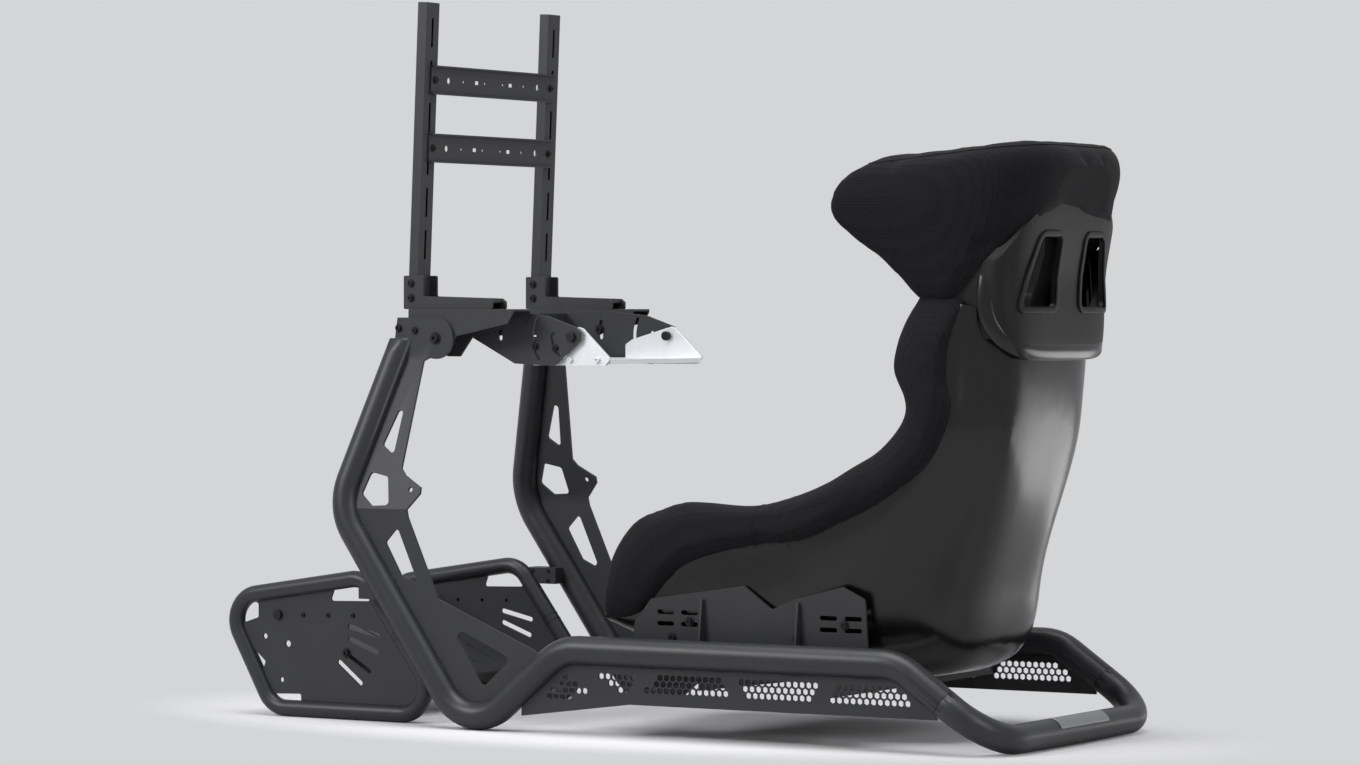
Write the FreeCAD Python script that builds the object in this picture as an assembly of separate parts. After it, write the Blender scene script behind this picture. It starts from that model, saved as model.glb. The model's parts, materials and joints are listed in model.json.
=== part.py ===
import FreeCAD, Part
import math
import os

# A racing simulator cockpit: a bent tube frame with a bucket seat, a tilting wheel plate,
# a tilting pedal plate and a monitor stand. Lengths are in millimetres.
# +X points forward to the pedals, +Y to the driver's left and +Z up.
# Stations along X are measured forward from the rear face of the rear tube.

V = FreeCAD.Vector

# Fits
weld_gap = 0.2
pin_clearance = 0.3
side_clearance = 6.0

# Main frame tube
tube_od = 50.0
rail_y = 303.0
rail_z = 148.0
rail_rear_x = 202.0
rear_bend = 90.0
rear_joint_share = 0.5
rail_bend = 90.0
foot_x = 1039.0
foot_bend = 82.0
front_slope = 39.7
leg_lean = 35.0
elbow_z = 385.0
elbow_bend = 110.0
upright_lean = 16.0
upright_tuck = 14.6
upright_top_z = 688.0
upright_bevel = 53.0

# Rear tread strip, bare
strip_length = 185.0
strip_width = 26.0
strip_thickness = 1.5

# Sheet steel
plate_thickness = 5.0
sheet_thickness = 4.0

# Sill plates with hexagonal perforation
sill_bottom_z = 58.0
sill_rear_x = 127.0
sill_kink_x = 724.0
sill_front_x = 946.0
sill_front_z = 29.0
hex_pitch = 13.0
hex_across = 10.4

# Gussets behind the uprights
head_fold_drop = 40.0
head_radius = 37.0
head_length = 75.0
head_nose = 12.0
gusset_web = 34.0
tab_reach = 46.0
tab_hole = 9.0

# Wheel deck
arm_length = 224.0
arm_setback = 25.0
arm_depth = 48.0
arm_knuckle_depth = 85.0
arm_tip_depth = 26.0
arm_width = 60.0
arm_rise = 52.0
cross_width = 60.0
cross_height = 40.0
deck_overlap = 128.0
deck_reach = 102.0
deck_drop = 101.0
pivot_forward_of_tip = 18.0
pivot_drop = 49.0
slot_width = 8.0
clamp_slot_x = 66.0
clamp_slot_height = 28.0
outer_slot_radius = 78.0
inner_slot_radius = 40.0

# Wheel plate and its ears
wheel_plate_thickness = 8.0
wheel_plate_depth = 205.0
wheel_plate_rear = 72.0
wheel_plate_drop = 48.0
ear_thickness = 6.0
pivot_pin = 10.0
wheel_hole = 6.6
wheel_hole_across = 140.0
wheel_hole_along = 65.0

# Monitor stand
foot_length = 190.0
foot_base = 19.0
foot_upright = 60.0
foot_leg = 42.0
post_width = 40.0
post_depth = 20.0
post_wall = 2.0
post_height = 550.0
post_lean = 2.4
bar_width = 410.0
bar_height = 52.0
bar_lip = 10.0
lower_bar_rise = 290.0
bar_spacing = 122.0
screen_hole = 6.6
screen_hole_across = 200.0

# Pedal section
loop_od = 30.0
loop_y = 253.0
loop_bend = 50.0
loop_heel_x = 1135.0
loop_toe_x = 1518.0
loop_nose_x = 1627.0
loop_nose_z = 210.0
loop_back_x = 1313.0
loop_back_z = 258.0
pedal_plate_thickness = 5.0
pedal_plate_length = 275.0
pedal_slope = 23.5
pedal_flange = 34.0
pedal_pivot_x = 1504.0
pedal_pivot_z = 184.0
clamp_height = 30.0
clamp_z = 237.0

# Seat
seat_x = 113.0
seat_z = 0.0
shell_thickness = 7.0
pad_thickness = 24.0
bolster_thickness = 52.0
bolster_bulge = 12.0
head_wall = 42.0
soft_gap = 0.6
lining_gap = 3.0
bolster_gap = 2.0
hip_low = 0.30
hip_high = 0.85
bolster_hang = 12.0
bolster_lip = 7.0
pad_gap = 1.0
pad_split = 8
harness_inner_y = 50.0
harness_hole_base = 108.0
harness_hole_top = 66.0
harness_hole_height = 118.0
harness_hole_bottom_z = 744.0
pad_relief = 14.0
arch_half = 200.0
arch_low_z = 640.0
arch_high_z = 935.0
arch_depth = 200.0

# Seat brackets and the beams under them
bracket_thickness = 4.0
bracket_gap = 3.0
bracket_foot_width = 26.0
bracket_bottom_z = 112.0
beam_width = 16.0
beam_height = 26.0
beam_front_x = 699.0
beam_rear_x = 338.0


# Basic shapes

def unit(vector):
    return V(vector).normalize()


def rounded_path(points, radii, closed=False):
    """A wire of straight runs joined by tangent arcs at the corners."""
    count = len(points)
    corners = range(count) if closed else range(1, count - 1)
    entry = {}
    leave = {}
    middle = {}
    for i in corners:
        here = points[i]
        back = unit(points[i - 1] - here)
        ahead = unit(points[(i + 1) % count] - here)
        half = back.getAngle(ahead) / 2
        radius = radii[i] if isinstance(radii, list) else radii
        reach = radius / math.tan(half)
        entry[i] = here + back * reach
        leave[i] = here + ahead * reach
        middle[i] = here + unit(back + ahead) * (radius / math.sin(half) - radius)
    edges = []
    spans = range(count) if closed else range(count - 1)
    for i in spans:
        j = (i + 1) % count
        start = leave.get(i, points[i])
        end = entry.get(j, points[j])
        if (end - start).Length > 1e-6:
            edges.append(Part.LineSegment(start, end).toShape())
        if j in middle:
            edges.append(Part.Arc(entry[j], middle[j], leave[j]).toShape())
    return Part.Wire(edges)


def round_bar(points, radii, diameter):
    """A round bar along straight runs and bends."""
    path = rounded_path(points, radii)
    ring = Part.makeCircle(diameter / 2, points[0], points[1] - points[0])
    return path.makePipeShell([Part.Wire(ring)], True, False)


def round_loop(points, radius, diameter):
    """A closed loop of round bar, made of its runs and bends."""
    pieces = []
    wire = rounded_path(points, radius, closed=True)
    for edge in wire.Edges:
        start = edge.valueAt(edge.FirstParameter)
        along = edge.tangentAt(edge.FirstParameter)
        ring = Part.Wire(Part.makeCircle(diameter / 2, start, along))
        pieces.append(Part.Wire(edge).makePipeShell([ring], True, False))
    return pieces[0].multiFuse(pieces[1:]).removeSplitter()


def outline(points, radius, y):
    """A closed wire in the plane Y = y with rounded corners, from (x, z) points."""
    return rounded_path([V(x, y, z) for x, z in points], radius, closed=True)


def disc(x, z, diameter, y):
    return Part.Wire(Part.makeCircle(diameter / 2, V(x, y, z), V(0, 1, 0)))


def slot(x0, z0, x1, z1, width, y):
    """A straight slot with round ends between two centres."""
    along = unit(V(x1 - x0, 0, z1 - z0))
    side = V(-along.z, 0, along.x) * (width / 2)
    a = V(x0, y, z0)
    b = V(x1, y, z1)
    edges = [
        Part.LineSegment(a + side, b + side).toShape(),
        Part.Arc(b + side, b + along * (width / 2), b - side).toShape(),
        Part.LineSegment(b - side, a - side).toShape(),
        Part.Arc(a - side, a - along * (width / 2), a + side).toShape(),
    ]
    return Part.Wire(edges)


def arc_slot(x, z, radius, start, end, width, y):
    """A slot on an arc about (x, z), from start to end in degrees above +X."""
    def at(r, degrees):
        turn = math.radians(degrees)
        return V(x + r * math.cos(turn), y, z + r * math.sin(turn))

    middle = (start + end) / 2
    inner = radius - width / 2
    outer = radius + width / 2
    over = math.degrees(width / 2 / radius)
    edges = [
        Part.Arc(at(outer, start), at(outer, middle), at(outer, end)).toShape(),
        Part.Arc(at(outer, end), at(radius, end + over), at(inner, end)).toShape(),
        Part.Arc(at(inner, end), at(inner, middle), at(inner, start)).toShape(),
        Part.Arc(at(inner, start), at(radius, start - over), at(outer, start)).toShape(),
    ]
    return Part.Wire(edges)


def plate(wires, thickness):
    """A plate from an outline and the holes in it, thickness along +Y."""
    face = Part.makeFace(wires, "Part::FaceMakerBullseye")
    return face.extrude(V(0, thickness, 0))


def box(x0, x1, y0, y1, z0, z1):
    return Part.makeBox(x1 - x0, y1 - y0, z1 - z0, V(x0, y0, z0))


def pin(x, y0, y1, z, diameter):
    return Part.makeCylinder(diameter / 2, y1 - y0, V(x, y0, z), V(0, 1, 0))


def mirrored(shape):
    return shape.mirror(V(0, 0, 0), V(0, 1, 0))


def turned(shape, x, y, z, axis, degrees):
    copy = shape.copy()
    copy.rotate(V(x, y, z), axis, degrees)
    return copy


nodes = {}


def pair(name, shape):
    """The same piece on the driver's left and, mirrored, on the right."""
    nodes["left_" + name] = shape
    nodes["right_" + name] = mirrored(shape)


# Corners of the main tube

slope = math.radians(front_slope)
lean = math.radians(leg_lean)
leg_normal = V(math.cos(lean), 0, -math.sin(lean))
slope_normal = V(-math.sin(slope), 0, -math.cos(slope))
foot_centre = V(foot_x, rail_y, tube_od / 2 + foot_bend)
foot_corner = foot_centre + (leg_normal + slope_normal) * (foot_bend / (1 + leg_normal.dot(slope_normal)))
rail_front_x = foot_corner.x - (rail_z - foot_corner.z) / math.tan(slope)
elbow = V(foot_corner.x + (elbow_z - foot_corner.z) * math.tan(lean), rail_y, elbow_z)
back_rate = math.tan(math.radians(upright_lean))
tuck_rate = math.tan(math.radians(upright_tuck))
rear_corner = V(tube_od / 2, rail_y, tube_od / 2)
rail_rear = V(rail_rear_x, rail_y, rail_z)
rear_joint = rail_rear + (rear_corner - rail_rear) * rear_joint_share


def upright_at(z):
    """The tube axis above the elbow."""
    rise = z - elbow_z
    return V(elbow.x - back_rate * rise, rail_y - tuck_rate * rise, z)


def leg_at(z):
    """The X of the tube axis between the foot and the elbow."""
    return foot_corner.x + (z - foot_corner.z) * math.tan(lean)


tube_points = [
    upright_at(upright_top_z + tube_od),
    elbow,
    foot_corner,
    V(rail_front_x, rail_y, rail_z),
    rail_rear,
    rear_joint,
]
tube_radii = [0, elbow_bend, foot_bend, rail_bend, rail_bend, 0]

# The head of the gusset stands upright again above its second fold
head_fold_z = upright_top_z - head_fold_drop
head_y = upright_at(head_fold_z).y
head_outer_y = head_y + plate_thickness / 2
head_inner_y = head_y - plate_thickness / 2
head_top = upright_at(upright_top_z)
head_pivot_x = head_top.x - head_length
head_front_x = head_top.x + head_nose
head_top_z = upright_top_z + head_radius


def trimmed(bar, gap):
    """The tube cut level under the head plate and bevelled outside it."""
    reach = tube_od * 3
    level = box(-reach, reach, -reach, reach, 0, reach)
    level.translate(V(head_top.x, head_y, upright_top_z + gap))
    bevel = box(-reach, reach, -reach, reach, 0, reach)
    bevel.rotate(V(0, 0, 0), V(1, 0, 0), -upright_bevel)
    bevel.translate(V(head_top.x, head_outer_y, upright_top_z + gap))
    return bar.cut([level, bevel])


def side_tube():
    """The long bent tube: upright, leg, foot, rail and rear slope."""
    return trimmed(round_bar(tube_points, tube_radii, tube_od), 0)


def rear_tube():
    """The tube that runs down from both rails and across the floor behind the seat."""
    far_corner = V(rear_corner.x, -rail_y, rear_corner.z)
    far_joint = V(rear_joint.x, -rail_y, rear_joint.z)
    return round_bar([rear_joint, rear_corner, far_corner, far_joint], rear_bend, tube_od)


def tread_strip():
    """A bare metal strip wrapped over the top of the rear tube."""
    outer = tube_od / 2 + weld_gap + strip_thickness
    ring = Part.makeCylinder(outer, strip_length, V(0, -strip_length / 2, 0), V(0, 1, 0))
    bore = Part.makeCylinder(outer - strip_thickness, strip_length, V(0, -strip_length / 2, 0), V(0, 1, 0))
    half = strip_width / 2
    keep = box(-half, half, -strip_length, strip_length, 0, tube_od)
    strip = ring.cut(bore).common(keep)
    strip.rotate(V(0, 0, 0), V(0, 1, 0), -40)
    strip.translate(V(rear_corner.x, 0, rear_corner.z))
    return strip


# Sill plates

def inside(x, z, polygon):
    """Whether a point lies inside a convex polygon."""
    signs = set()
    for i in range(len(polygon)):
        ax, az = polygon[i]
        bx, bz = polygon[(i + 1) % len(polygon)]
        signs.add((bx - ax) * (z - az) - (bz - az) * (x - ax) > 0)
    return len(signs) == 1


def hexagon(x, z, across, y):
    corner = across / math.sqrt(3)
    points = []
    for k in range(6):
        turn = math.radians(60 * k + 30)
        points.append(V(x + corner * math.cos(turn), y, z + corner * math.sin(turn)))
    return Part.makePolygon(points + points[:1])


def hex_group(polygon, y):
    """Hexagonal holes in staggered rows inside a window."""
    row_step = hex_pitch * math.sqrt(3) / 2
    low_x = min(x for x, z in polygon)
    high_x = max(x for x, z in polygon)
    low_z = min(z for x, z in polygon)
    high_z = max(z for x, z in polygon)
    rows = int((high_z - low_z) / row_step) + 1
    columns = int((high_x - low_x) / hex_pitch) + 2
    first_z = (low_z + high_z) / 2 - row_step * (rows - 1) / 2
    holes = []
    for row in range(rows):
        for column in range(columns):
            x = low_x + hex_pitch * (column + 0.5 * (row % 2))
            z = first_z + row * row_step
            if inside(x, z, polygon):
                holes.append(hexagon(x, z, hex_across, y))
    return holes


def sill_windows():
    """Five windows along the sill, alternately upright and upside down."""
    low = sill_bottom_z + 24
    high = rail_z - tube_od / 2 - 13
    tall = high - low
    front = sill_kink_x
    rear = sill_rear_x
    return [
        [(front + 175, low - 21), (front + 129, high - 4), (front + 72, low - 10)],
        [(front + 72, high), (front - 20, high), (front + 10, low - 4)],
        [(front - 30, low), (front - 30 - tall, high), (front - 178, high), (front - 204, low)],
        [(rear + 384, high), (rear + 218, high), (rear + 240, low - 2), (rear + 358, low - 2)],
        [(rear + 206, low), (rear + 186, high), (rear + 76, high), (rear + 42, low - 3)],
    ]


def sill_plate():
    """The sheet welded under the rail, with five perforated windows."""
    y = rail_y - sheet_thickness / 2
    edge = [
        (sill_rear_x, sill_bottom_z),
        (sill_kink_x, sill_bottom_z),
        (sill_front_x, sill_front_z),
        (sill_front_x, sill_front_z + tube_od / 2),
        (rail_front_x, rail_z),
        (rail_rear_x, rail_z),
        (sill_rear_x, sill_bottom_z + tube_od / 2),
    ]
    wires = [Part.makePolygon([V(x, y, z) for x, z in edge + edge[:1]])]
    for window in sill_windows():
        wires += hex_group(window, y)
    return plate(wires, sheet_thickness).cut(weld_cutter)


# Gussets

def gusset():
    """The folded plate behind the upright: leg web, tucked web and upright head."""
    y = rail_y - plate_thickness / 2
    web_end_z = rail_z - 3
    web_end_x = rail_front_x + 60
    inner_x = leg_at(228) - gusset_web * 3
    lower = [
        (elbow.x, elbow_z),
        (leg_at(100), 100),
        (foot_corner.x + 10, 40),
        (foot_corner.x - 60, 45),
        (rail_front_x + 30, rail_z - 25),
        (web_end_x, web_end_z),
        (inner_x, 228),
        (elbow.x - 148, elbow_z - 15),
        (elbow.x - 145, elbow_z),
    ]
    wires = [Part.makePolygon([V(x, y, z) for x, z in lower + lower[:1]])]
    wires.append(outline([(elbow.x - 126, 353), (elbow.x - 100, 325), (elbow.x - 133, 268),
                          (elbow.x - 172, 250)], 6, y))
    wires.append(outline([(foot_corner.x + 40, 184), (foot_corner.x - 88, 128),
                          (foot_corner.x - 28, 74)], 10, y))
    web = plate(wires, plate_thickness)

    # The upper webs are drawn flat above the elbow, then folded in and upright again
    rise = (head_fold_z - elbow_z) / math.cos(math.radians(upright_tuck))
    top_s = elbow_z + rise
    neck_x = head_pivot_x + 26
    upper = [
        (elbow.x, elbow_z - plate_thickness / 4),
        (upright_at(head_fold_z).x + 4, top_s),
        (neck_x, top_s),
        (elbow.x - 122, elbow_z + 74),
        (elbow.x - 132, elbow_z + 62),
        (elbow.x - 123 - tab_reach, elbow_z + 40),
        (elbow.x - 123 - tab_reach, elbow_z + 28),
        (elbow.x - 145, elbow_z - plate_thickness / 4),
    ]
    wires = [Part.makePolygon([V(x, y, z) for x, z in upper + upper[:1]])]
    wires.append(outline([(elbow.x - 58, elbow_z + 66), (elbow.x - 96, elbow_z + 58),
                          (elbow.x - 106, elbow_z + 6), (elbow.x - 70, elbow_z + 4),
                          (elbow.x - 44, elbow_z + 26)], 7, y))
    wires.append(outline([(elbow.x - 112, elbow_z + 218), (elbow.x - 74, elbow_z + 116),
                          (elbow.x - 101, elbow_z + 97)], 6, y))
    wires.append(disc(elbow.x - 113 - tab_reach / 2 - 12, elbow_z + 35, tab_hole, y))
    tucked = plate(wires, plate_thickness)
    tucked = turned(tucked, elbow.x, rail_y, elbow_z, V(1, 0, 0), upright_tuck)

    y = head_inner_y
    low_z = head_fold_z - plate_thickness / 4
    head = [
        (upright_at(head_fold_z).x + 4, low_z),
        (head_front_x, upright_top_z + 4),
        (head_front_x - 5, head_top_z),
        (head_pivot_x, head_top_z),
        (head_pivot_x, upright_top_z - head_radius + 8),
        (neck_x, low_z),
    ]
    holes = [
        disc(head_pivot_x, upright_top_z, pivot_pin, y),
        disc(head_pivot_x + 44, upright_top_z + 14, 7, y),
        disc(head_pivot_x + 79, upright_top_z + 18, 7, y),
    ]
    face = Part.makePolygon([V(x, y, z) for x, z in head + head[:1]])
    upright = plate([face], plate_thickness)
    knuckle = pin(head_pivot_x, y, y + plate_thickness, upright_top_z, head_radius * 2)
    upright = upright.fuse(knuckle)
    for hole in holes:
        upright = upright.cut(plate([hole], plate_thickness))
    whole = web.fuse([tucked, upright]).removeSplitter()
    return whole.cut(weld_cutter)


# Wheel deck

arm_outer_y = head_inner_y
arm_inner_y = arm_outer_y - arm_width
arm_top_z = upright_top_z + arm_rise
arm_front_x = head_front_x - arm_setback
arm_tip_x = arm_front_x - arm_length
deck_plate_y = arm_inner_y - sheet_thickness
wheel_pivot_x = arm_tip_x - deck_reach + pivot_forward_of_tip
wheel_pivot_z = arm_top_z - pivot_drop
ear_outer_y = deck_plate_y - side_clearance
ear_inner_y = ear_outer_y - ear_thickness


def deck_arm():
    """A channel open below, bolted inside the gusset head and tapering to its tip."""
    t = sheet_thickness
    low = arm_top_z - arm_depth
    side = [
        (arm_front_x, arm_top_z),
        (arm_front_x, low),
        (head_pivot_x + 24, low),
        (head_pivot_x + 16, arm_top_z - arm_knuckle_depth),
        (head_pivot_x - 12, arm_top_z - arm_knuckle_depth),
        (head_pivot_x - 40, low),
        (arm_tip_x + 12, arm_top_z - arm_tip_depth),
        (arm_tip_x, arm_top_z - 6),
        (arm_tip_x, arm_top_z),
    ]

    def flange(y, holes):
        ring = Part.makePolygon([V(x, y, z) for x, z in side + side[:1]])
        return plate([ring] + holes, t)

    outer = flange(arm_outer_y - t, [
        disc(head_pivot_x, upright_top_z, pivot_pin, arm_outer_y - t),
        disc(head_pivot_x + 44, upright_top_z + 14, 7, arm_outer_y - t),
    ])
    inner = flange(arm_inner_y, [])
    top = box(arm_tip_x, arm_front_x, arm_inner_y, arm_outer_y, arm_top_z - t, arm_top_z)
    return outer.fuse([inner, top]).removeSplitter()


def deck_cross_tube():
    """The rectangular tube that ties the two arms together."""
    middle = head_pivot_x + 12
    half = cross_width / 2
    t = sheet_thickness
    top = arm_top_z - t - 4
    low = top - cross_height
    outside = box(middle - half, middle + half, -arm_inner_y, arm_inner_y, low, top)
    inside_cut = box(middle - half + t, middle + half - t, -arm_inner_y, arm_inner_y, low + t, top - t)
    return outside.cut(inside_cut)


def deck_plate():
    """The side plate bolted inside an arm, with two arc slots about the wheel pivot."""
    y = deck_plate_y
    low = arm_top_z - deck_drop
    tip = arm_tip_x - deck_reach
    clamp_x = arm_tip_x + clamp_slot_x
    edge = [
        (arm_tip_x + deck_overlap, arm_top_z - sheet_thickness),
        (arm_tip_x + 40, arm_top_z - sheet_thickness),
        (arm_tip_x - 33, arm_top_z - 12),
        (tip + 10, arm_top_z - 32),
        (tip, arm_top_z - 41),
        (tip + 2, arm_top_z - 57),
        (tip + 56, low),
        (arm_tip_x + 36, low + 4),
        (arm_tip_x + deck_overlap, arm_top_z - 50),
    ]
    wires = [
        outline(edge, 6, y),
        arc_slot(wheel_pivot_x, wheel_pivot_z, outer_slot_radius, -29, 23, slot_width, y),
        arc_slot(wheel_pivot_x, wheel_pivot_z, inner_slot_radius, -50, 7, slot_width, y),
        disc(wheel_pivot_x, wheel_pivot_z, pivot_pin + 2 * pin_clearance, y),
        slot(clamp_x, wheel_pivot_z - 3, clamp_x, wheel_pivot_z + clamp_slot_height - 3, slot_width, y),
    ]
    return plate(wires, sheet_thickness)


def wheel_ear():
    """The side cheek of the wheel plate, hung on the pivot."""
    y = ear_inner_y
    x = wheel_pivot_x
    low = wheel_pivot_z - wheel_plate_drop - 3
    rear = x - wheel_plate_rear
    edge = [
        (rear + 8, low),
        (rear - 2, low + 12),
        (x - 16, wheel_pivot_z + 15),
        (x - 8, wheel_pivot_z + 17),
        (x + outer_slot_radius - 2, wheel_pivot_z - 7),
        (x + outer_slot_radius + 12, wheel_pivot_z - 16),
        (x + outer_slot_radius + 12, low),
    ]
    wires = [
        outline(edge, 4, y),
        disc(x, wheel_pivot_z, pivot_pin + 2 * pin_clearance, y),
    ]
    return plate(wires, ear_thickness)


def wheel_plate():
    """The plate that a wheel base bolts to, between the two ears."""
    t = wheel_plate_thickness
    rear = wheel_pivot_x - wheel_plate_rear
    low = wheel_pivot_z - wheel_plate_drop
    slab = box(rear, rear + wheel_plate_depth, -ear_inner_y, ear_inner_y, low, low + t)
    middle = rear + wheel_plate_depth / 2
    for sx in (-0.5, 0.5):
        for sy in (-0.5, 0.5):
            at = V(middle + sx * wheel_hole_along, sy * wheel_hole_across, low)
            slab = slab.cut(Part.makeCylinder(wheel_hole / 2, t, at))
    return slab


def wheel_pivot():
    """The headed pin that carries an ear on the deck plate."""
    start = ear_inner_y - 3
    shank = pin(wheel_pivot_x, start, deck_plate_y + sheet_thickness + 1, wheel_pivot_z, pivot_pin)
    washer_y = ear_outer_y + pin_clearance
    washer = pin(wheel_pivot_x, washer_y, deck_plate_y, wheel_pivot_z, pivot_pin * 2)
    head = pin(wheel_pivot_x, deck_plate_y + sheet_thickness, deck_plate_y + sheet_thickness + 6,
               wheel_pivot_z, pivot_pin * 1.7)
    nut = pin(wheel_pivot_x, start - 5, ear_inner_y - pin_clearance, wheel_pivot_z, pivot_pin * 1.7)
    return shank.fuse([washer, head, nut]).removeSplitter()


# Monitor stand

post_outer_y = arm_inner_y + arm_width / 2 + post_width / 2
post_inner_y = post_outer_y - post_width
foot_front_x = arm_front_x + 14
post_x = foot_front_x - 6 - post_depth / 2
stand_z = arm_top_z


def monitor_foot():
    """Two L-shaped cheeks joined by a top, standing on the arm."""
    t = sheet_thickness
    rear = foot_front_x - foot_length
    edge = [
        (foot_front_x, stand_z),
        (foot_front_x, stand_z + foot_upright),
        (foot_front_x - foot_leg, stand_z + foot_upright),
        (foot_front_x - foot_leg, stand_z + foot_base + 4),
        (rear + 8, stand_z + foot_base),
        (rear, stand_z + foot_base - 6),
        (rear, stand_z),
    ]

    def cheek(y):
        holes = [
            disc(post_x, stand_z + 20, 7, y),
            disc(post_x, stand_z + 46, 7, y),
        ]
        return plate([outline(edge, 3, y)] + holes, t)

    top = box(rear + 8, foot_front_x - foot_leg, post_inner_y, post_outer_y,
              stand_z + foot_base - 2 * t, stand_z + foot_base - t)
    return cheek(post_outer_y).fuse([cheek(post_inner_y - t), top]).removeSplitter()


def leaned(shape):
    return turned(shape, post_x, 0, stand_z, V(0, 1, 0), -post_lean)


def monitor_post():
    """A slotted box section between the cheeks of its foot."""
    half = post_depth / 2
    low = stand_z + 1.5
    high = stand_z + post_height
    tube = box(post_x - half, post_x + half, post_inner_y, post_outer_y, low, high)
    w = post_wall
    hollow = box(post_x - half + w, post_x + half - w, post_inner_y + w, post_outer_y - w, low, high - w)
    tube = tube.cut(hollow)
    middle = (post_inner_y + post_outer_y) / 2
    slot_z = stand_z + foot_upright + 30
    while slot_z + 70 < high:
        opening = box(post_x - half - 1, post_x - half + w + 1, middle - 3, middle + 3, slot_z, slot_z + 52)
        tube = tube.cut(opening)
        slot_z += 76
    return leaned(tube)


def monitor_bar(rise):
    """A folded crossbar with round and slotted holes for a screen."""
    t = sheet_thickness - 1
    face_x = post_x - post_depth / 2
    low = stand_z + rise - bar_height / 2
    high = low + bar_height
    half = bar_width / 2
    web = box(face_x - t, face_x, -half, half, low, high)
    lips = [
        box(face_x - bar_lip, face_x, -half, half, low, low + t),
        box(face_x - bar_lip, face_x, -half, half, high - t, high),
    ]
    bar = web.fuse(lips).removeSplitter()
    z = stand_z + rise
    for side in (-1, 1):
        for y, size in ((30, 6.6), (screen_hole_across / 2, screen_hole), (148, 12)):
            hole = Part.makeCylinder(size / 2, t * 3, V(face_x - 2 * t, side * y, z), V(1, 0, 0))
            bar = bar.cut(hole)
        long_hole = box(face_x - 2 * t, face_x + t, side * 56 - 7, side * 56 + 7, z - 3.3, z + 3.3)
        bar = bar.cut(long_hole)
    return leaned(bar)


# Pedal section

loop_points = [
    (loop_heel_x, loop_od / 2),
    (loop_toe_x, loop_od / 2),
    (loop_nose_x, loop_nose_z),
    (loop_back_x, loop_back_z),
]


def pedal_loop():
    points = [V(x, loop_y, z) for x, z in loop_points]
    return round_loop(points, loop_bend, loop_od)


# Gaps between a cheek and its loop: the loop corner they belong to and offsets from it
cheek_gaps = [
    ((loop_nose_x, loop_nose_z), [(-78, -6), (-78, -32), (-50, -41), (-27, -40), (-27, 5)]),
    ((loop_toe_x, loop_od / 2), [(59, 106), (38, 103), (15, 83), (28, 51), (57, 51)]),
    ((loop_toe_x, loop_od / 2), [(8, 47), (-2, 25), (-64, 27), (-64, 5), (22, 5)]),
    ((loop_back_x, loop_back_z), [(76, -45), (66, -18), (52, 4), (-23, 4), (-23, -36), (-6, -43)]),
]


def pedal_cheek(loop_cutter):
    """The sheet welded inside a loop, with gaps at its corners and a fan of slots."""
    t = sheet_thickness
    y = loop_y - t / 2
    sheet = plate([outline(loop_points, loop_bend, y)], t)
    for (x, z), offsets in cheek_gaps:
        sheet = sheet.cut(plate([outline([(x + dx, z + dz) for dx, dz in offsets], 4, y)], t))
    px = pedal_pivot_x
    pz = pedal_pivot_z
    holes = [disc(px, pz, pivot_pin, y)]
    for k in range(1, 4):
        holes.append(disc(px - 55 * k, pz + 1.3 * k, 7, y))
    holes.append(disc(px + 30, pz - 40, 10, y))
    holes.append(disc(px - 21, pz - 52, 12, y))
    holes.append(disc(px - 7, pz - 118, 9, y))
    for angle, near, far in ((5.8, 159, 222), (13.5, 163, 225), (23.5, 160, 222), (31.0, 158, 216)):
        turn = math.radians(angle)
        spread = math.radians(angle + 7)
        x0 = px - near * math.cos(turn)
        z0 = pz - near * math.sin(turn)
        x1 = x0 - (far - near) * math.cos(spread)
        z1 = z0 - (far - near) * math.sin(spread)
        holes.append(slot(x0, z0, x1, z1, 9, y))
    for hole in holes:
        sheet = sheet.cut(plate([hole], t))
    return sheet.cut(loop_cutter)


def pedal_plate():
    """The sloping plate that the pedals bolt to, with a flange at each side."""
    t = pedal_plate_thickness
    half = loop_y - loop_od / 2 - side_clearance
    front = pedal_pivot_x + 20
    rear = front - pedal_plate_length
    top = pedal_pivot_z - pedal_flange / 2
    slab = box(rear, front, -half, half, top - t, top)
    for side in (-1, 1):
        for step in range(3):
            y = side * (45 + 62 * step)
            for x in (rear + 70, rear + 180):
                slab = slab.cut(box(x - 35, x + 35, y - 4, y + 4, top - t, top))
    flange_edge = [
        (rear, top - t),
        (front, top - t),
        (front, top + pedal_flange - 6),
        (pedal_pivot_x - 24, top + pedal_flange - 6),
        (rear, top + 10),
    ]
    for y in (-half, half - t):
        wires = [
            outline(flange_edge, 3, y),
            disc(pedal_pivot_x, pedal_pivot_z, pivot_pin + 2 * pin_clearance, y),
        ]
        slab = slab.fuse(plate(wires, t))
    slab = slab.removeSplitter()
    return turned(slab, pedal_pivot_x, 0, pedal_pivot_z, V(0, 1, 0), -pedal_slope)


def pedal_pivot():
    """The headed pin that carries one end of the pedal plate."""
    half = loop_y - loop_od / 2 - side_clearance
    inner = half - pedal_plate_thickness
    outer = loop_y + sheet_thickness / 2
    shank = pin(pedal_pivot_x, inner - 4, outer + 1, pedal_pivot_z, pivot_pin - 2 * weld_gap)
    sleeve = pin(pedal_pivot_x, half + pin_clearance, outer - sheet_thickness, pedal_pivot_z, pivot_pin * 2)
    head = pin(pedal_pivot_x, outer, outer + 6, pedal_pivot_z, pivot_pin * 1.7)
    nut = pin(pedal_pivot_x, inner - 9, inner - pin_clearance, pedal_pivot_z, pivot_pin * 1.7)
    return shank.fuse([sleeve, head, nut]).removeSplitter()


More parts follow.
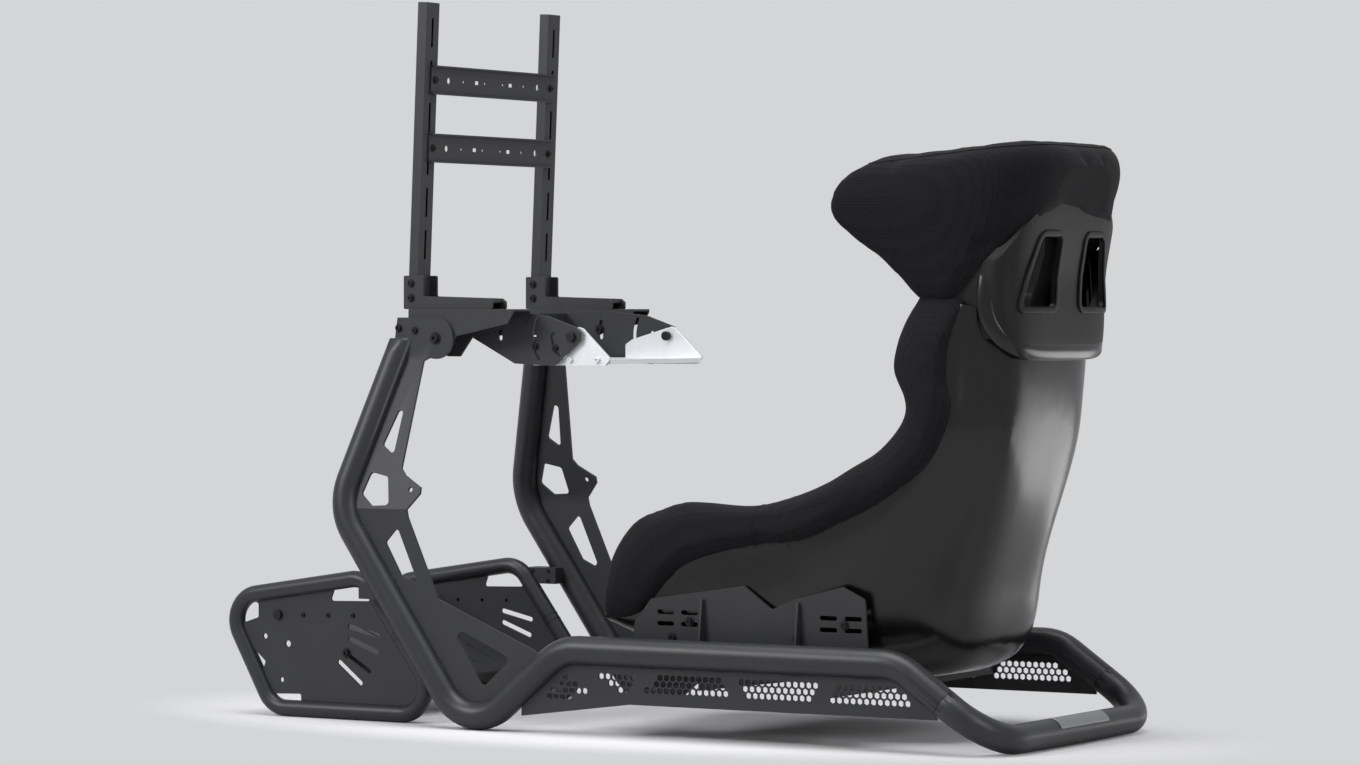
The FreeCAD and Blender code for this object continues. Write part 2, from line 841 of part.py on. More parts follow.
def pedal_clamp(loop_cutter):
    """The block that bolts a pedal loop to the leg of the main tube."""
    back_x = loop_back_x - (loop_back_z - clamp_z) * (loop_back_x - loop_heel_x) / (loop_back_z - loop_od / 2)
    leg_x = leg_at(clamp_z)
    block = box(leg_x, back_x, loop_y, rail_y - 6, clamp_z - clamp_height / 2, clamp_z + clamp_height / 2)
    return block.cut([loop_cutter, weld_cutter])


# Seat: stations from the front lip along the base and up the back to the neck.
# Each holds the shell's outer centre point, its rim point, half the width there,
# the share of the side that is shell and not bolster, how square the section is,
# and the share of the width that the spine of the shell keeps.
seat_stations = [
    ((705, 188), (718, 228), 224, 0.50, 4.0, 1.00),
    ((682, 176), (708, 305), 228, 0.33, 4.5, 1.00),
    ((632, 160), (660, 372), 232, 0.33, 5.0, 1.00),
    ((578, 150), (602, 397), 233, 0.50, 5.0, 1.00),
    ((520, 140), (540, 411), 234, 0.65, 5.0, 1.00),
    ((390, 126), (420, 410), 234, 0.78, 5.0, 1.00),
    ((250, 116), (345, 424), 234, 0.79, 4.5, 0.98),
    ((130, 112), (275, 450), 233, 0.82, 4.0, 0.92),
    ((58, 150), (224, 478), 231, 0.81, 4.0, 0.85),
    ((30, 250), (165, 512), 229, 0.77, 4.0, 0.77),
    ((-5, 380), (119, 578), 228, 0.63, 4.0, 0.72),
    ((-42, 520), (144, 640), 230, 0.45, 4.0, 0.74),
    ((-51, 580), (140, 678), 227, 0.52, 3.8, 0.77),
    ((-57, 640), (130, 710), 222, 0.57, 3.6, 0.81),
    ((-59, 690), (118, 738), 214, 0.57, 3.4, 0.86),
    ((-59, 735), (105, 762), 204, 0.55, 3.2, 0.93),
]

# Head stations: outer centre point at the back, wing edge, half width, squareness
head_stations = [
    ((-59, 735.6), (105, 762.6), 206, 3.2),
    ((-78, 795), (165, 815), 216, 3.2),
    ((-87, 850), (228, 862), 226, 3.2),
    ((-97, 915), (264, 908), 232, 3.2),
    ((-117, 968), (246, 958), 228, 3.2),
    ((-114, 1006), (205, 985), 218, 3.2),
    ((-94, 1029), (172, 1001), 198, 3.2),
]

# Panel stations: outer centre point of the hump behind the head, half width, reach of its sides
panel_stations = [
    ((-67.6, 654), 140, 18),
    ((-75, 678), 176, 40),
    ((-76, 704), 189, 56),
    ((-76, 742), 196, 64),
    ((-78, 795), 198, 66),
    ((-87, 850), 198, 66),
    ((-97, 915), 196, 60),
    ((-112, 955), 190, 50),
]


def seat_point(point):
    return V(point[0] + seat_x, 0, point[1] + seat_z)


def section_frame(base, rim):
    """Origin, direction towards the rim and depth of one section."""
    origin = seat_point(base)
    reach = seat_point(rim) - origin
    return origin, unit(reach), reach.Length


def bow(origin, up, half_width, depth, floor, power, waist=1.0):
    """A U-shaped curve from rim to rim, drawn in to its waist at the floor."""
    points = []
    steps = 24
    for k in range(steps + 1):
        turn = math.pi * k / steps
        cos = math.cos(turn)
        sink = math.sin(turn) ** (2 / power)
        hip = min(max((1 - sink - hip_low) / (hip_high - hip_low), 0.0), 1.0)
        spread = waist + (1 - waist) * hip * hip * (3 - 2 * hip)
        y = -half_width * spread * math.copysign(abs(cos) ** (2 / power), cos)
        points.append(origin + V(0, y, 0) + up * (depth - (depth - floor) * sink))
    curve = Part.BSplineCurve()
    curve.interpolate(points)
    return curve.toShape()


def channel_section(base, rim, half_width, share, power, waist, inset, wall, drop=0.0):
    """A closed U: the outer bow inset from the seat's skin, and the inner bow a wall further in."""
    origin, up, depth = section_frame(base, rim)
    top = depth * share - drop
    outer = bow(origin, up, half_width - inset, top, inset, power, waist)
    inner = bow(origin, up, half_width - inset - wall, top, min(inset + wall, top), power, waist)
    ends = []
    for side in (0, -1):
        a = outer.Vertexes[side].Point
        b = inner.Vertexes[side].Point
        ends.append(Part.LineSegment(a, b).toShape())
    return Part.Wire(Part.__sortEdges__([outer, ends[1], inner, ends[0]]))


def channel(stations, inset, wall, drop=0.0):
    wires = []
    for station in stations:
        wires.append(channel_section(*station, inset, wall, drop))
    return Part.makeLoft(wires, True, False)


def bolster_section(base, rim, half_width, share):
    """The padded roll over the shell's edge, hanging a little below it on both sides."""
    origin, up, depth = section_frame(base, rim)
    low = depth * share - min(bolster_hang, depth * share / 2)
    tall = depth - low
    inner = half_width - bolster_thickness
    crown = (half_width + bolster_bulge + inner) / 2
    shape = [
        (half_width + bolster_lip, 0.0),
        (half_width + bolster_bulge, 0.4),
        (half_width + bolster_bulge / 2, 0.8),
        (crown, 1.0),
        (inner - 2, 0.8),
        (inner - 5, 0.4),
        (inner, 0.0),
    ]
    points = [origin + V(0, y, 0) + up * (low + tall * share_up) for y, share_up in shape]
    curve = Part.BSplineCurve()
    curve.interpolate(points)
    return Part.Wire([curve.toShape(), Part.LineSegment(points[-1], points[0]).toShape()])


def side_bolster():
    """The roll, grooved underneath to fit over the shell and the lining."""
    wires = [bolster_section(b, r, w, share) for b, r, w, share, power, waist in seat_stations]
    groove = shell_thickness + lining_gap + pad_thickness + 2 * bolster_gap
    edge = channel(seat_stations, -bolster_gap, groove, -soft_gap)
    return Part.makeLoft(wires, True, False).cut(edge)


def seat_shell():
    return channel(seat_stations, 0.0, shell_thickness)


def seat_pads():
    """The padding inside the shell, parted in the corner: base first, then back."""
    lining = channel(seat_stations, shell_thickness + lining_gap, pad_thickness)
    base, rim, half_width = seat_stations[pad_split][:3]
    origin, up, depth = section_frame(base, rim)
    parting = box(-depth, depth * 2, -2 * half_width, 2 * half_width, 0, pad_gap)
    parting.rotate(V(0, 0, 0), V(0, 1, 0), -math.degrees(math.atan2(up.z, up.x)))
    parting.translate(origin)
    return sorted(lining.cut(parting).Solids, key=lambda solid: -solid.CenterOfMass.x)


def arch(x0, x1, half_width, low, high):
    """A prism along X with an arched top, for the panel at the back of the head."""
    spring = high - (high - low) * 0.42
    left = Part.LineSegment(V(x0, -half_width, spring), V(x0, -half_width, low)).toShape()
    floor = Part.LineSegment(V(x0, -half_width, low), V(x0, half_width, low)).toShape()
    right = Part.LineSegment(V(x0, half_width, low), V(x0, half_width, spring)).toShape()
    curve = Part.BSplineCurve()
    curve.interpolate([
        V(x0, half_width, spring),
        V(x0, half_width * 0.72, spring + (high - spring) * 0.72),
        V(x0, 0, high),
        V(x0, -half_width * 0.72, spring + (high - spring) * 0.72),
        V(x0, -half_width, spring),
    ])
    face = Part.Face(Part.Wire([left, floor, right, curve.toShape()]))
    return face.extrude(V(x1 - x0, 0, 0))


def head_channel(inset, wall):
    wires = []
    for base, rim, half_width, power in head_stations:
        wires.append(channel_section(base, rim, half_width, 1.0, power, 1.0, inset, wall))
    return Part.makeLoft(wires, True, False)


def head_arch(clearance):
    rear = seat_x - arch_depth * 0.8
    low = seat_z + arch_low_z
    high = seat_z + arch_high_z + clearance
    return arch(rear, rear + arch_depth, arch_half + clearance, low, high)


def harness_hole(side, relief=0.0):
    """The opening for a shoulder belt: upright inside edge, slanted outside edge, wider by the relief."""
    low = harness_hole_bottom_z + seat_z
    high = low + harness_hole_height + relief
    inner = harness_inner_y - relief
    wide = 2 * relief
    points = [
        (inner, low),
        (inner + harness_hole_base + wide, low),
        (inner + harness_hole_top + wide, high),
        (inner, high),
    ]
    x0 = seat_x - 140
    ring = rounded_path([V(x0, side * y, z) for y, z in points], 9, closed=True)
    return Part.Face(ring).extrude(V(280, 0, 0))


def head_cover():
    """The padded wings round the head, open at the back for the harness panel."""
    return head_channel(0.0, head_wall).cut(head_arch(soft_gap))


def hump(wall):
    """The curved wall behind the head, as thick as asked for on its inner side."""
    wires = []
    for (x, z), half_width, reach in panel_stations:
        rim = (x + reach, z + reach / 6)
        wires.append(channel_section((x, z), rim, half_width, 1.0, 4.0, 1.0, 0.0, wall))
    return Part.makeLoft(wires, True, False)


def harness_panel():
    """The bare hump in the arch at the back of the head: a ledge below, two belt openings above."""
    panel = hump(shell_thickness).common(head_arch(0.0))
    return panel.cut([harness_hole(-1), harness_hole(1)])


def head_pad():
    """The padding in front of the harness panel."""
    inset = shell_thickness + pad_gap
    pad = head_channel(inset, head_wall - inset).common(head_arch(0.0))
    return pad.cut([hump(inset), harness_hole(-1, pad_relief), harness_hole(1, pad_relief)])


# Seat brackets and beams

seat_half = max(station[2] for station in seat_stations)
bracket_y = seat_half + bracket_gap


def seat_bracket():
    """The slotted plate bolted to the seat's side, with a foot and two ribs."""
    t = bracket_thickness
    y = bracket_y
    x = seat_x
    low = bracket_bottom_z
    edge = [
        (x + 648, low),
        (x + 640, seat_z + 196),
        (x + 607, seat_z + 238),
        (x + 420, seat_z + 266),
        (x + 365, seat_z + 227),
        (x + 320, seat_z + 246),
        (x + 227, seat_z + 270),
        (x + 184, seat_z + 250),
        (x + 176, low),
    ]
    wires = [outline(edge, 9, y)]
    for row in range(2):
        for x0, count in ((x + 590, 2), (x + 268, 2)):
            for k in range(count):
                start = x0 - 48 * k
                z = seat_z + 196 + 20 * row
                wires.append(slot(start, z, start - 26, z, 8, y))
    upright = plate(wires, t)
    foot = box(x + 176, x + 648, y, y + bracket_foot_width, low, low + t)
    ribs = []
    for rib_x in (x + 500, x + 310):
        rib = Part.makePolygon([
            V(rib_x, y + t, low + t),
            V(rib_x, y + bracket_foot_width, low + t),
            V(rib_x, y + t + 6, seat_z + 240),
            V(rib_x, y + t, seat_z + 240),
            V(rib_x, y + t, low + t),
        ])
        ribs.append(Part.Face(rib).extrude(V(t, 0, 0)))
    return upright.fuse([foot] + ribs).removeSplitter()


def seat_beam(x):
    """A flat bar on edge between the sill plates, under the bracket feet."""
    end = rail_y - sheet_thickness / 2
    top = bracket_bottom_z
    return box(x - beam_width / 2, x + beam_width / 2, -end, end, top - beam_height, top)


# Build

weld_path = tube_points[:-1] + [rear_corner]
weld_cutter = trimmed(round_bar(weld_path, tube_radii, tube_od + 2 * weld_gap), weld_gap)

pair("side_tube", side_tube())
nodes["rear_tube"] = rear_tube()
nodes["tread_strip"] = tread_strip()
pair("sill_plate", sill_plate())
pair("gusset", gusset())
pair("deck_arm", deck_arm())
nodes["deck_cross_tube"] = deck_cross_tube()
pair("deck_plate", deck_plate())
nodes["wheel_plate"] = wheel_plate()
pair("wheel_ear", wheel_ear())
pair("wheel_pivot", wheel_pivot())
pair("monitor_foot", monitor_foot())
pair("monitor_post", monitor_post())
nodes["lower_monitor_bar"] = monitor_bar(lower_bar_rise)
nodes["upper_monitor_bar"] = monitor_bar(lower_bar_rise + bar_spacing)

loop = pedal_loop()
loop_cutter = round_loop([V(x, loop_y, z) for x, z in loop_points], loop_bend, loop_od + 2 * weld_gap)
pair("pedal_loop", loop)
pair("pedal_cheek", pedal_cheek(loop_cutter))
nodes["pedal_plate"] = pedal_plate()
pair("pedal_pivot", pedal_pivot())
pair("pedal_clamp", pedal_clamp(loop_cutter))

nodes["seat_shell"] = seat_shell()
nodes["seat_base_pad"], nodes["seat_back_pad"] = seat_pads()
pair("side_bolster", side_bolster())
nodes["head_cover"] = head_cover()
nodes["harness_panel"] = harness_panel()
nodes["head_pad"] = head_pad()
pair("seat_bracket", seat_bracket())
nodes["front_seat_beam"] = seat_beam(beam_front_x)
nodes["rear_seat_beam"] = seat_beam(beam_rear_x)

# The origin is on the floor under the middle of the length
overall_length = loop.optimalBoundingBox(False, False).XMax
os.makedirs("parts", exist_ok=True)
for name, shape in nodes.items():
    placed = shape.copy()
    placed.translate(V(-overall_length / 2, 0, 0))
    placed.exportStep("parts/" + name + ".step")
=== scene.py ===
import bpy
import bmesh
import json
import math
from mathutils import Matrix, Vector


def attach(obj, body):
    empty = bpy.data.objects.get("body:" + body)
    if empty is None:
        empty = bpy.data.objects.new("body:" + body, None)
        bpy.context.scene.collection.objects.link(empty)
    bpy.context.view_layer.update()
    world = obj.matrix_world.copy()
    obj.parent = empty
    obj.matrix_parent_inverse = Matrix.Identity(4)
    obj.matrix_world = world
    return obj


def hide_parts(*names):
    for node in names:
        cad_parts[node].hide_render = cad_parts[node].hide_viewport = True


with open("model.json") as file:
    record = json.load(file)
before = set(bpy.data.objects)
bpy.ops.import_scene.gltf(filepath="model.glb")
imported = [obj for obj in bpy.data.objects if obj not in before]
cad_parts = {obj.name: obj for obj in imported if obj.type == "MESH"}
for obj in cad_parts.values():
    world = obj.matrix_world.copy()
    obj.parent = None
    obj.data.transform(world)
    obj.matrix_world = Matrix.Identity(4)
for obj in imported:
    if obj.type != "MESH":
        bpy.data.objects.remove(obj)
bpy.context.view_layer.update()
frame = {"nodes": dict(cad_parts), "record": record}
nodes = frame["nodes"]
scene = bpy.context.scene
scene.view_settings.view_transform = "Standard"


# Colours and materials

def linear(code):
    """A hex sRGB colour as linear RGBA."""
    values = []
    for k in (0, 2, 4):
        c = int(code[k:k + 2], 16) / 255
        values.append(c / 12.92 if c <= 0.04045 else ((c + 0.055) / 1.055) ** 2.4)
    return (*values, 1.0)


def add(tree, kind, inputs=None, **settings):
    """Adds a node. Inputs maps a socket to a value or to another node's output."""
    made = tree.nodes.new(kind)
    for name, value in settings.items():
        setattr(made, name, value)
    for socket, value in (inputs or {}).items():
        if isinstance(value, bpy.types.NodeSocket):
            tree.links.new(value, made.inputs[socket])
        else:
            made.inputs[socket].default_value = value
    return made


def per_mm(size):
    """The scale of a pattern whose features are this many millimetres apart."""
    return 1000.0 / size


def new_material(name):
    """A material with a Principled shader, its tree and its Object coordinates."""
    material = bpy.data.materials.new(name)
    material.use_nodes = True
    tree = material.node_tree
    shader = tree.nodes["Principled BSDF"]
    coords = add(tree, "ShaderNodeTexCoord").outputs["Object"]
    return material, tree, shader, coords


def powder_coat(name, colour, rough, grain):
    """Polyester powder coat on steel: satin, with the fine orange peel of cured powder."""
    material, tree, shader, coords = new_material(name)
    shader.inputs["IOR"].default_value = 1.5
    shader.inputs["Specular IOR Level"].default_value = 0.35
    peel = add(tree, "ShaderNodeTexNoise", {"Vector": coords, "Scale": per_mm(grain), "Detail": 3.0})
    cloud = add(tree, "ShaderNodeTexNoise", {"Vector": coords, "Scale": per_mm(60.0), "Detail": 2.0})
    tone = add(tree, "ShaderNodeMix",
               {"Factor": cloud.outputs["Fac"], "A": linear(colour[0]), "B": linear(colour[1])},
               data_type="RGBA")
    dull = add(tree, "ShaderNodeMapRange",
               {"Value": peel.outputs["Fac"], "To Min": rough - 0.06, "To Max": rough + 0.06})
    bump = add(tree, "ShaderNodeBump", {"Height": peel.outputs["Fac"], "Strength": 0.12, "Distance": 0.0006})
    tree.links.new(tone.outputs["Result"], shader.inputs["Base Color"])
    tree.links.new(dull.outputs["Result"], shader.inputs["Roughness"])
    tree.links.new(bump.outputs["Normal"], shader.inputs["Normal"])
    return material


def brushed_metal(name, colour, rough, stretch, shine):
    """Metal brushed along one way: fine parallel scratches that draw the highlights out across them."""
    material, tree, shader, coords = new_material(name)
    shader.inputs["Metallic"].default_value = shine
    turned = add(tree, "ShaderNodeMapping", {"Vector": coords, "Scale": stretch})
    lines = add(tree, "ShaderNodeTexNoise",
                {"Vector": turned.outputs["Vector"], "Scale": per_mm(1.5), "Detail": 4.0})
    tone = add(tree, "ShaderNodeMix",
               {"Factor": lines.outputs["Fac"], "A": linear(colour[0]), "B": linear(colour[1])},
               data_type="RGBA")
    dull = add(tree, "ShaderNodeMapRange",
               {"Value": lines.outputs["Fac"], "To Min": rough - 0.08, "To Max": rough + 0.1})
    bump = add(tree, "ShaderNodeBump", {"Height": lines.outputs["Fac"], "Strength": 0.1, "Distance": 0.0004})
    tree.links.new(tone.outputs["Result"], shader.inputs["Base Color"])
    tree.links.new(dull.outputs["Result"], shader.inputs["Roughness"])
    tree.links.new(bump.outputs["Normal"], shader.inputs["Normal"])
    return material


def gloss_laminate():
    """Glass fibre shell with a black gel coat: glossy, with a slow ripple under the gloss."""
    material, tree, shader, coords = new_material("gel_coated_glass_fibre")
    shader.inputs["Base Color"].default_value = linear("0b0b0c")
    shader.inputs["IOR"].default_value = 1.54
    shader.inputs["Specular IOR Level"].default_value = 0.3
    ripple = add(tree, "ShaderNodeTexNoise", {"Vector": coords, "Scale": per_mm(90.0), "Detail": 1.0})
    dull = add(tree, "ShaderNodeMapRange", {"Value": ripple.outputs["Fac"], "To Min": 0.18, "To Max": 0.26})
    bump = add(tree, "ShaderNodeBump", {"Height": ripple.outputs["Fac"], "Strength": 0.06, "Distance": 0.004})
    tree.links.new(dull.outputs["Result"], shader.inputs["Roughness"])
    tree.links.new(bump.outputs["Normal"], shader.inputs["Normal"])
    return material


def moulded_plastic(name, colour, rough, grain):
    """Moulded ABS with a fine spark-eroded grain that scatters the light."""
    material, tree, shader, coords = new_material(name)
    shader.inputs["Base Color"].default_value = linear(colour)
    shader.inputs["IOR"].default_value = 1.53
    shader.inputs["Specular IOR Level"].default_value = 0.2
    grit = add(tree, "ShaderNodeTexNoise", {"Vector": coords, "Scale": per_mm(grain), "Detail": 2.0})
    dull = add(tree, "ShaderNodeMapRange",
               {"Value": grit.outputs["Fac"], "To Min": rough - 0.05, "To Max": rough + 0.05})
    bump = add(tree, "ShaderNodeBump", {"Height": grit.outputs["Fac"], "Strength": 0.15, "Distance": 0.0005})
    tree.links.new(dull.outputs["Result"], shader.inputs["Roughness"])
    tree.links.new(bump.outputs["Normal"], shader.inputs["Normal"])
    return material


def spacer_mesh():
    """Knitted polyester spacer mesh: open cells sunk by a bump, with painted shade darkening their hollows,
    and a soft sheen.
    Real cells are about 2 mm apart; they are drawn 5 mm apart so that they show."""
    material, tree, shader, coords = new_material("knitted_spacer_mesh")
    shader.inputs["Roughness"].default_value = 0.85
    shader.inputs["IOR"].default_value = 1.45
    shader.inputs["Sheen Weight"].default_value = 0.03
    shader.inputs["Specular IOR Level"].default_value = 0.15
    shader.inputs["Sheen Roughness"].default_value = 0.5
    cells = add(tree, "ShaderNodeTexVoronoi", {"Vector": coords, "Scale": per_mm(5.0), "Randomness": 0.25})
    fuzz = add(tree, "ShaderNodeTexNoise", {"Vector": coords, "Scale": per_mm(1.6), "Detail": 2.0})
    cell_depth_and_shade = add(tree, "ShaderNodeMapRange",
               {"Value": cells.outputs["Distance"], "From Min": 0.15, "From Max": 0.5})
    height = add(tree, "ShaderNodeMath", {0: cell_depth_and_shade.outputs["Result"], 1: fuzz.outputs["Fac"]}, operation="ADD")
    # Painted shade: the colour goes darker towards each cell's middle, standing in for the shade inside the
    # open cells
    tone = add(tree, "ShaderNodeMix",
               {"Factor": cell_depth_and_shade.outputs["Result"], "A": linear("030304"), "B": linear("131315")},
               data_type="RGBA")
    bump = add(tree, "ShaderNodeBump",
               {"Height": height.outputs["Value"], "Strength": 0.35, "Distance": 0.0012})
    tree.links.new(tone.outputs["Result"], shader.inputs["Base Color"])
    tree.links.new(bump.outputs["Normal"], shader.inputs["Normal"])
    return material


def black_oxide():
    """Black oxide on alloy steel screws: dark, slightly oily, worn a little on the rims."""
    material, tree, shader, coords = new_material("black_oxide_steel")
    shader.inputs["Metallic"].default_value = 0.7
    wear = add(tree, "ShaderNodeTexNoise", {"Vector": coords, "Scale": per_mm(3.0), "Detail": 3.0})
    tone = add(tree, "ShaderNodeMix",
               {"Factor": wear.outputs["Fac"], "A": linear("121213"), "B": linear("2b2b2d")},
               data_type="RGBA")
    dull = add(tree, "ShaderNodeMapRange", {"Value": wear.outputs["Fac"], "To Min": 0.3, "To Max": 0.5})
    tree.links.new(tone.outputs["Result"], shader.inputs["Base Color"])
    tree.links.new(dull.outputs["Result"], shader.inputs["Roughness"])
    return material


tube_coat = powder_coat("satin_powder_coat", ("1d1e20", "242527"), 0.4, 1.6)
sheet_coat = powder_coat("textured_powder_coat", ("202123", "272829"), 0.5, 1.2)
aluminium = brushed_metal("brushed_aluminium", ("c6c8cb", "dcdee1"), 0.42, (1.0, 0.06, 1.0), 0.75)
bare_steel = brushed_metal("brushed_steel", ("77787b", "9b9c9f"), 0.4, (1.0, 0.08, 1.0), 1.0)
shell_gloss = gloss_laminate()
panel_matt = moulded_plastic("moulded_abs", "0b0b0c", 0.5, 1.0)
fabric = spacer_mesh()
screw_black = black_oxide()
SLOT = {
    "powder_coat_tube": tube_coat,
    "powder_coat_sheet": sheet_coat,
    "brushed_aluminium": aluminium,
    "brushed_strip": bare_steel,
    "gloss_shell": shell_gloss,
    "matte_panel": panel_matt,
    "mesh_fabric": fabric,
    "black_bolt": screw_black,
}
slot_of = {part["node"]: part["material_slot"] for part in frame["record"]["subparts"]}
body_of = {}
for body, members in frame["record"]["behaviour"]["bodies"].items():
    for member in members:
        body_of[member] = body


# Making pieces

def piece(name, bm, slot, body="frame", smooth=38):
    """A finished mesh from a bmesh, riding on a body. Edges steeper than smooth degrees stay sharp."""
    mesh = bpy.data.meshes.new(name)
    bm.to_mesh(mesh)
    bm.free()
    mesh.materials.append(SLOT[slot])
    mesh.shade_smooth()
    mesh.set_sharp_from_angle(angle=math.radians(smooth))
    obj = bpy.data.objects.new(name, mesh)
    scene.collection.objects.link(obj)
    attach(obj, body)
    return obj


def node_mesh(node):
    """A CAD node's mesh in a bmesh, with its loose triangles merged."""
    bm = bmesh.new()
    bm.from_mesh(nodes[node].data)
    bmesh.ops.remove_doubles(bm, verts=bm.verts, dist=1e-6)
    return bm


def dressed(node, edge):
    """A CAD node with its corners broken by this many millimetres, as deburred and coated metal has them."""
    bm = node_mesh(node)
    if edge:
        bmesh.ops.dissolve_limit(bm, angle_limit=math.radians(1), verts=bm.verts, edges=bm.edges)
        sharp = [e for e in bm.edges if e.is_manifold and e.calc_face_angle() > math.radians(40)]
        bmesh.ops.bevel(bm, geom=sharp, offset=edge / 1000, offset_type="OFFSET", segments=2, profile=0.5,
                        affect="EDGES", material=-1, clamp_overlap=True)
    obj = piece(node + "_dressed", bm, slot_of[node], body_of[node])
    level = obj.modifiers.new("level_faces", "WEIGHTED_NORMAL")
    level.keep_sharp = True
    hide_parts(node)


EDGE_BREAK = 0.7
soft_nodes = [
    "seat_base_pad", "seat_back_pad", "left_side_bolster", "right_side_bolster", "head_cover", "head_pad",
]
for node in nodes:
    if node in soft_nodes:
        continue
    round_bar = "tube" in node and "cross" not in node or "loop" in node or node == "seat_shell"
    dressed(node, 0.0 if round_bar else EDGE_BREAK)


# Soft goods

CLOTH_FRAMES = 20
CLOTH_PRESSURE = 4.0
SMOOTH_ROUNDS = 6


def inflate(obj, cap):
    """Swells a closed mesh as cloth under pressure, moving no point further than the cap."""
    cloth = obj.modifiers.new("cloth", "CLOTH")
    cloth.settings.use_pressure = True
    cloth.settings.uniform_pressure_force = CLOTH_PRESSURE
    cloth.settings.effector_weights.gravity = 0.0
    cloth.settings.tension_stiffness = 12.0
    cloth.settings.compression_stiffness = 12.0
    cloth.settings.bending_stiffness = 1.0
    cloth.point_cache.frame_start = 1
    cloth.point_cache.frame_end = CLOTH_FRAMES
    for step in range(1, CLOTH_FRAMES + 1):
        scene.frame_set(step)
    shaped = obj.evaluated_get(bpy.context.evaluated_depsgraph_get()).data
    moves = [after.co - before.co for after, before in zip(shaped.vertices, obj.data.vertices)]
    obj.modifiers.remove(cloth)
    scene.frame_set(1)
    for vertex, move in zip(obj.data.vertices, moves):
        if move.length > cap:
            move = move * (cap / move.length)
        vertex.co += move


def cover(name, bm, node, voxel, shrink, cap):
    """A foam pad under stretched mesh fabric, swollen from a closed form that stands for a CAD solid."""
    raw = bpy.data.meshes.new(name + "_raw")
    bm.to_mesh(raw)
    bm.free()
    obj = bpy.data.objects.new(name, raw)
    scene.collection.objects.link(obj)
    remesh = obj.modifiers.new("voxels", "REMESH")
    remesh.mode = "VOXEL"
    remesh.voxel_size = voxel / 1000
    even = bpy.data.meshes.new_from_object(obj.evaluated_get(bpy.context.evaluated_depsgraph_get()))
    obj.modifiers.remove(remesh)
    obj.data = even
    bm = bmesh.new()
    bm.from_mesh(even)
    bm.normal_update()
    for vertex in bm.verts:
        vertex.co -= vertex.normal * (shrink / 1000)
    for _ in range(SMOOTH_ROUNDS):
        bmesh.ops.smooth_vert(bm, verts=bm.verts, factor=0.5,
                              use_axis_x=True, use_axis_y=True, use_axis_z=True)
    bm.to_mesh(even)
    bm.free()
    inflate(obj, cap / 1000)
    even.materials.append(fabric)
    even.shade_smooth()
    rounder = obj.modifiers.new("finer", "SUBSURF")
    rounder.levels = 1
    rounder.render_levels = 1
    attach(obj, "frame")
    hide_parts(node)
    return obj


# Sections of the seat from the front lip to the neck, in millimetres: skin point and rim point (X from
# SEAT_X, and Z), half width, the share of the side that is bare shell, how square the section is and the
# share of the width that its spine keeps
SEAT_X = -693.6
SEAT = [
    ((705, 188), (718, 228), 224, 0.50, 4.0, 1.00),
    ((682, 176), (708, 305), 228, 0.33, 4.5, 1.00),
    ((632, 160), (660, 372), 232, 0.33, 5.0, 1.00),
    ((578, 150), (602, 397), 233, 0.50, 5.0, 1.00),
    ((520, 140), (540, 411), 234, 0.65, 5.0, 1.00),
    ((390, 126), (420, 410), 234, 0.78, 5.0, 1.00),
    ((250, 116), (345, 424), 234, 0.79, 4.5, 0.98),
    ((130, 112), (275, 450), 233, 0.82, 4.0, 0.92),
    ((58, 150), (224, 478), 231, 0.81, 4.0, 0.85),
    ((30, 250), (165, 512), 229, 0.77, 4.0, 0.77),
    ((-5, 380), (119, 578), 228, 0.63, 4.0, 0.72),
    ((-42, 520), (144, 640), 230, 0.45, 4.0, 0.74),
    ((-51, 580), (140, 678), 227, 0.52, 3.8, 0.77),
    ((-57, 640), (130, 710), 222, 0.57, 3.6, 0.81),
    ((-59, 690), (118, 738), 214, 0.57, 3.4, 0.86),
    ((-59, 735), (105, 762), 204, 0.55, 3.2, 0.93),
]


def across(section, y, height):
    """A point of a section, y from the middle and height above its skin towards its rim."""
    skin, rim = section[:2]
    low = Vector((skin[0] + SEAT_X, 0.0, skin[1]))
    up = Vector((rim[0] + SEAT_X, 0.0, rim[1])) - low
    return (low + up.normalized() * height + Vector((0.0, y, 0.0))) / 1000


def depth(section):
    """The way from a section's skin to its rim."""
    skin, rim = section[:2]
    return math.hypot(rim[0] - skin[0], rim[1] - skin[1])


# Where the shell's sides step out at the hips, as shares of their height
HIP_LOW = 0.30
HIP_HIGH = 0.85


def shell_half(section, drop):
    """Half the shell's width this far below its edge."""
    half, share, power, waist = section[2:]
    sink = drop / (depth(section) * share)
    hip = min(max((1 - sink - HIP_LOW) / (HIP_HIGH - HIP_LOW), 0.0), 1.0)
    return half * (waist + (1 - waist) * hip * hip * (3 - 2 * hip)) * (1 - sink ** power) ** (1 / power)


def loft(rings):
    """A closed form through rings of points, with flat ends."""
    bm = bmesh.new()
    loops = []
    for ring in rings:
        verts = [bm.verts.new(point) for point in ring]
        loops.append([bm.edges.new((verts[k - 1], verts[k])) for k in range(len(verts))])
    for near, far in zip(loops, loops[1:]):
        bmesh.ops.bridge_loops(bm, edges=near + far)
    for loop in (loops[0], loops[-1]):
        bmesh.ops.edgenet_fill(bm, edges=loop)
    bmesh.ops.recalc_face_normals(bm, faces=bm.faces)
    return bm


def finer(rows, parts):
    """The rows with others between them, on a smooth curve through all of them."""
    flat = [[*row[0], *row[1], *row[2:]] for row in rows]
    last = len(flat) - 1
    result = []
    for k in range(last):
        for step in range(parts):
            t = step / parts
            values = []
            for p, q, r, s in zip(flat[max(k - 1, 0)], flat[k], flat[k + 1], flat[min(k + 2, last)]):
                cubic = 3 * (q - r) + s - p
                square = 2 * p - 5 * q + 4 * r - s
                values.append(q + 0.5 * t * (r - p + t * (square + t * cubic)))
            result.append((values[0:2], values[2:4], *values[4:]))
    result.append(rows[-1])
    return result


# How far the bolsters hang over the shell, their width, and where their swell fades out at the neck
HANG = 20.0
BOLSTER_WIDTH = 52
NECK_Z = 790
NECK_FADE = 60


